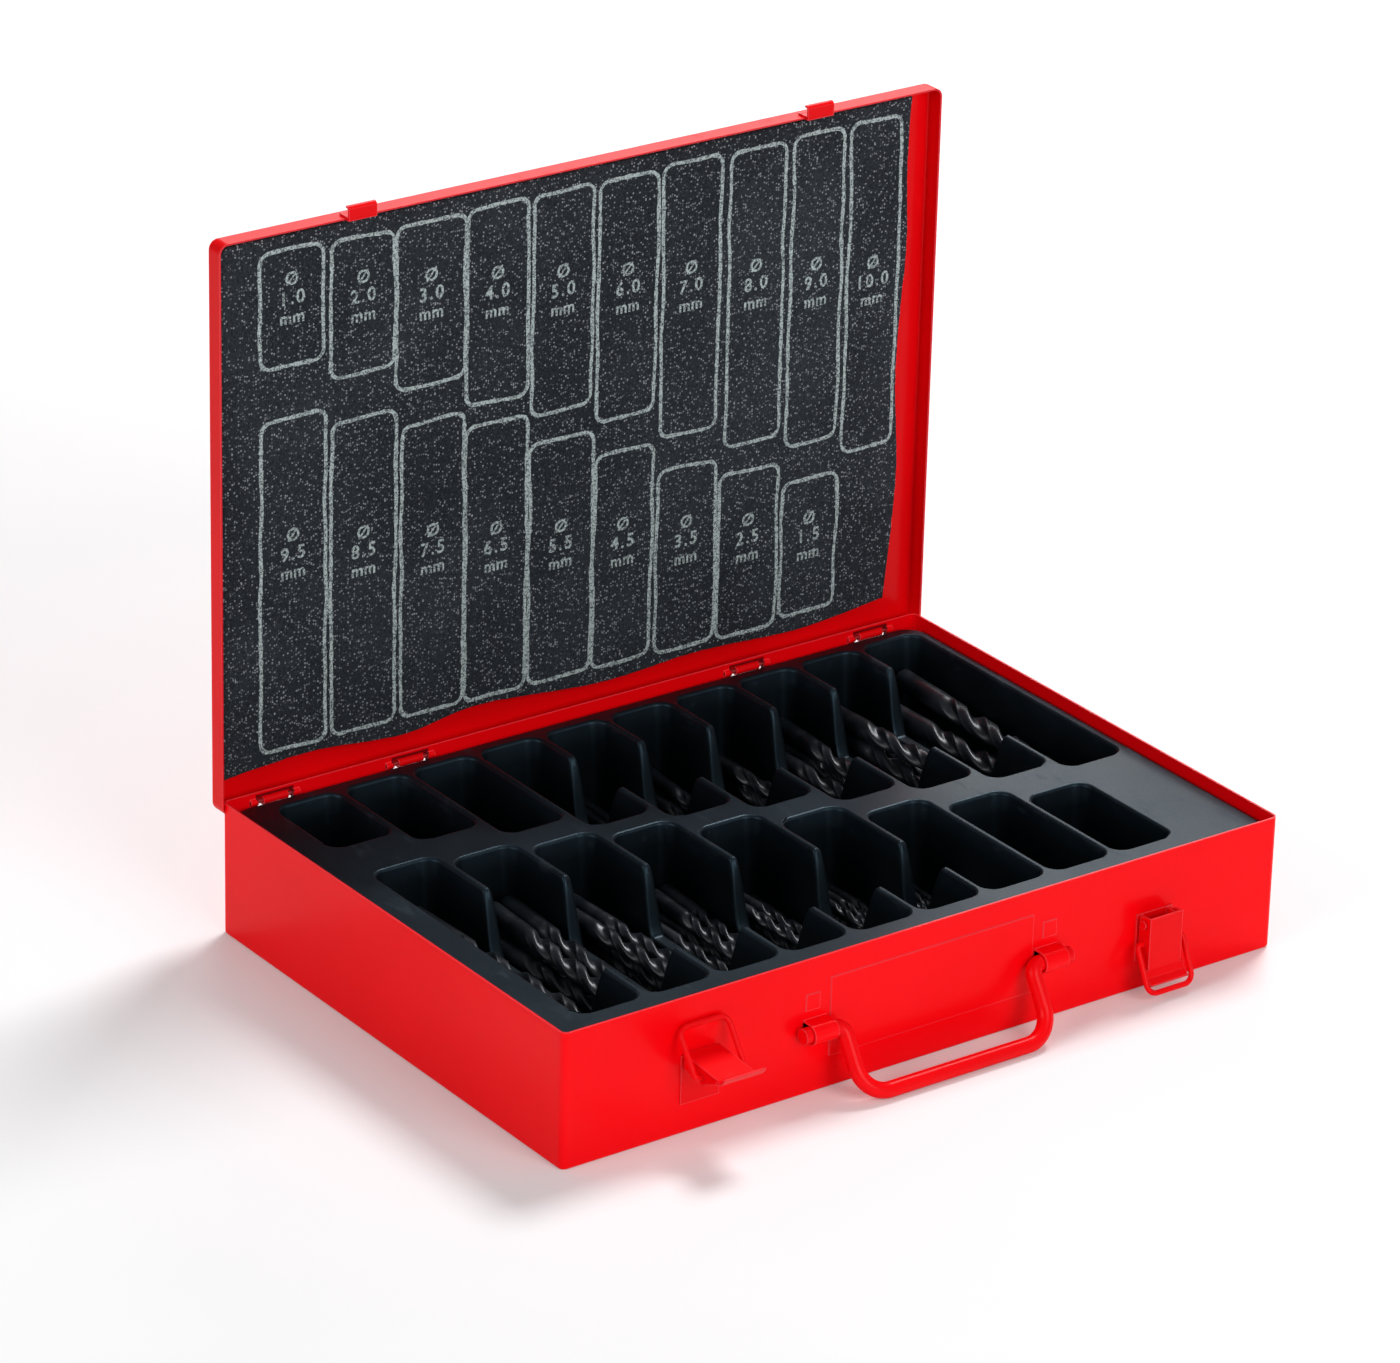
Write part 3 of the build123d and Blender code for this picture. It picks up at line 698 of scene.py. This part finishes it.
# The rounded lips and rims are lightened to blue-grey, a painted highlight; the scuffs mixed in here
# are wear.
grey = plastic.blend(lip_highlight * 0.30 + scuff * top_lit_and_handled * 0.2, grey, rgb(0.036, 0.048, 0.060))
plastic.shader.inputs["Specular Tint"].default_value = rgb(0.45, 0.76, 1.0)
plastic.shader.inputs["Specular IOR Level"].default_value = 0.34
plastic.finish(
    Base_Color=grey,
    Roughness=leather * 0.12 + scuff * 0.10 + haze * 0.06 + 0.34,
    Normal=plastic.bump(leather, 0.00006, 0.45),
)
tray = outward(piece("tray", points, faces, plastic.material), merge=0.001)
wall = tray.modifiers.new("wall", "SOLIDIFY")
wall.thickness, wall.offset, wall.use_even_offset = WALL * MM, -1.0, False
bpy.context.view_layer.update()
depsgraph = bpy.context.evaluated_depsgraph_get()
moulded = bpy.data.meshes.new_from_object(tray.evaluated_get(depsgraph))
tray.modifiers.clear()
tray.data = moulded
# The flat top is shaded flat right up to the rounded lips.
UP, flat_from = Vector((0, 0, 1)), (TOP - 0.01) * MM
moulded.normals_split_custom_set_from_vertices(
    [UP if v.co.z > flat_from else v.normal.copy() for v in moulded.vertices]
)
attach(tray, "case")
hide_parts("tray_insert")

# ---------------------------------------------------------------- the drill bits
# Jobber twist drills of black-oxide high-speed steel: a plain round shank, two right-hand flutes
# and a pointed end. They lie loose in their pockets where the CAD solids lie.
FLUTE_SHARE, CONE, LEAD, FADE = 0.76, 0.6, 4.8, 1.3
BIT_SLACK = 0.04
section = [
    (0.00, 1.0), (0.045, 0.80), (0.11, 0.55), (0.19, 0.39), (0.28, 0.33), (0.37, 0.37), (0.45, 0.52),
    (0.53, 0.78), (0.59, 0.955), (0.70, 0.96), (0.82, 0.96), (0.93, 0.96), (0.95, 1.0),
]


def twist_drill(diameter, length, material):
    """One bit along Z from its shank end at the origin, in millimetres."""
    r = diameter / 2
    cone, flute = CONE * r, FLUTE_SHARE * length
    shank = length - flute
    turn_rate = 2 * math.pi / (LEAD * diameter)
    stations = [(0.0, 0.0, 0.0), (0.0, 0.93, 0.0), (0.035 * diameter, 1.0, 0.0)]
    stations += [(shank * 0.5, 1.0, 0.0), (shank, 1.0, 0.0)]
    fade_length = FADE * diameter
    steps = max(30, int((flute - cone) / (0.17 * diameter)))
    for k in range(1, steps + 1):
        z = shank + (flute - cone) * k / steps
        stations.append((z, 1.0, min(1.0, (z - shank) / fade_length)))
    stations += [(length - 0.66 * cone, 0.68, 1.0), (length - 0.3 * cone, 0.34, 1.0)]
    stations += [(length, 0.0, 1.0)]
    count = 2 * len(section)
    points = []
    for z, scale, depth in stations:
        depth = depth * depth * (3 - 2 * depth)
        for k in range(count):
            share, reach = section[k % len(section)]
            angle = math.pi * (share + k // len(section)) + turn_rate * max(0.0, z - shank)
            reach = r * scale * (1 - depth * (1 - reach))
            points.append((reach * math.cos(angle), reach * math.sin(angle), z))
    faces = bands(0, count, len(stations))
    return outward(piece("drill_pattern", points, faces, material), merge=0.0005)


def laying_tree():
    """A tree that lays copies of one bit on points, each turned by its point's own angles."""
    tree = bpy.data.node_groups.new("lay_bits", "GeometryNodeTree")
    for name, way, kind in (
        ("Places", "INPUT", "Geometry"), ("Bit", "INPUT", "Object"),
        ("Finish", "INPUT", "Material"), ("Bits", "OUTPUT", "Geometry"),
    ):
        tree.interface.new_socket(name, in_out=way, socket_type="NodeSocket" + kind)
    make = tree.nodes.new
    source, result = make("NodeGroupInput"), make("NodeGroupOutput")
    bit, angles = make("GeometryNodeObjectInfo"), make("GeometryNodeInputNamedAttribute")
    turn, lay = make("FunctionNodeEulerToRotation"), make("GeometryNodeInstanceOnPoints")
    real, dress = make("GeometryNodeRealizeInstances"), make("GeometryNodeSetMaterial")
    angles.data_type = "FLOAT_VECTOR"
    angles.inputs["Name"].default_value = "turn"
    for a, b in (
        (source.outputs["Places"], lay.inputs["Points"]),
        (source.outputs["Bit"], bit.inputs["Object"]),
        (bit.outputs["Geometry"], lay.inputs["Instance"]),
        (angles.outputs["Attribute"], turn.inputs["Euler"]),
        (turn.outputs["Rotation"], lay.inputs["Rotation"]),
        (lay.outputs["Instances"], real.inputs["Geometry"]),
        (real.outputs["Geometry"], dress.inputs["Geometry"]),
        (source.outputs["Finish"], dress.inputs["Material"]),
        (dress.outputs["Geometry"], result.inputs["Bits"]),
    ):
        tree.links.new(a, b)
    return tree


oxide = Bench("black_oxide_steel")
rounded, land_glint = oxide.edge_round_and_highlight(0.0003)
mill = oxide.grain(1.1, 4.0)
stain = oxide.grain(0.08, 3.0).over(0.4, 0.65)
steel = oxide.blend(stain, rgb(0.008, 0.010, 0.014), rgb(0.017, 0.020, 0.026))
oxide.finish(
    # Edges of the flutes and lands are lightened to steel grey: a painted glint.
    Base_Color=oxide.blend(land_glint * 0.7, steel, rgb(0.17, 0.19, 0.22)),
    Metallic=0.35,
    Roughness=mill * 0.16 + stain * 0.08 + 0.25,
    Normal=oxide.bump(mill, 0.00002, 0.4, rounded),
)


def lying_bits(node):
    """Each solid of a CAD node as (shank end, axis, length), read from its separate islands."""
    work = bmesh.new()
    work.from_mesh(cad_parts[node].data)
    bmesh.ops.remove_doubles(work, verts=work.verts, dist=0.00001)
    work.verts.ensure_lookup_table()
    left, found = set(work.verts), []
    while left:
        stack, island = [min(left, key=lambda v: v.index)], []
        left.discard(stack[0])
        while stack:
            vertex = stack.pop()
            island.append(np.array(vertex.co) / MM)
            for edge in vertex.link_edges:
                other = edge.other_vert(vertex)
                if other in left:
                    left.discard(other)
                    stack.append(other)
        cloud = np.array(island)
        middle = cloud.mean(0)
        axis = np.linalg.svd(cloud - middle)[2][0]
        axis = axis if axis[1] < 0 else -axis
        along = (cloud - middle) @ axis
        shank_end = cloud[along < along.min() + 0.05].mean(0)
        found.append((Vector(shank_end), Vector(axis), float(along.max() - along.min())))
    work.free()
    return sorted(found, key=lambda item: (round(item[0].x, 3), round(item[0].z, 3)))


lay_bits = laying_tree()
rng = random.Random(7)
for node in sorted(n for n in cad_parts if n.startswith("drill_bits_")):
    diameter = float(node.removeprefix("drill_bits_").replace("_", ".")) - BIT_SLACK
    lying = lying_bits(node)
    pattern = twist_drill(diameter, lying[0][2], oxide.material)
    places = bpy.data.meshes.new(node)
    places.from_pydata([end * MM for end, _, _ in lying], [], [])
    turns = places.attributes.new("turn", "FLOAT_VECTOR", "POINT")
    for item, (_, axis, _) in zip(turns.data, lying):
        roll = Matrix.Rotation(rng.uniform(0, math.pi), 4, "Z")
        item.vector = (axis.to_track_quat("Z", "X").to_matrix().to_4x4() @ roll).to_euler()
    holder = bpy.data.objects.new(node, places)
    bpy.context.scene.collection.objects.link(holder)
    laying = holder.modifiers.new("lay", "NODES")
    laying.node_group = lay_bits
    for socket in lay_bits.interface.items_tree:
        if socket.name == "Bit":
            laying[socket.identifier] = pattern
        if socket.name == "Finish":
            laying[socket.identifier] = oxide.material
    bpy.context.view_layer.update()
    depsgraph = bpy.context.evaluated_depsgraph_get()
    solid = bpy.data.meshes.new_from_object(holder.evaluated_get(depsgraph))
    bpy.data.objects.remove(holder)
    bpy.data.objects.remove(pattern)
    bits = bpy.data.objects.new(node.replace("drill_bits", "twist_drills"), solid)
    bpy.context.scene.collection.objects.link(bits)
    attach(bits, "case")
    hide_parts(node)

# ---------------------------------------------------------------- the handle and the latches
# The handle is one bent steel rod that swings under two bridges of the front wall. Each draw
# latch is a bracket, a pin, a channel lever and a wire loop, all painted with the case.
fittings_red = red_enamel("fittings_enamel", rgb(0.90, 0.0015, 0.0045), rgb(0.82, 0.0012, 0.0035))
coat("handle_bail", fittings_red)
for side in ("left", "right"):
    for part in ("bracket", "pin", "lever", "wire"):
        coat(f"latch_{side}_{part}", fittings_red)

low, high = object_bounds()
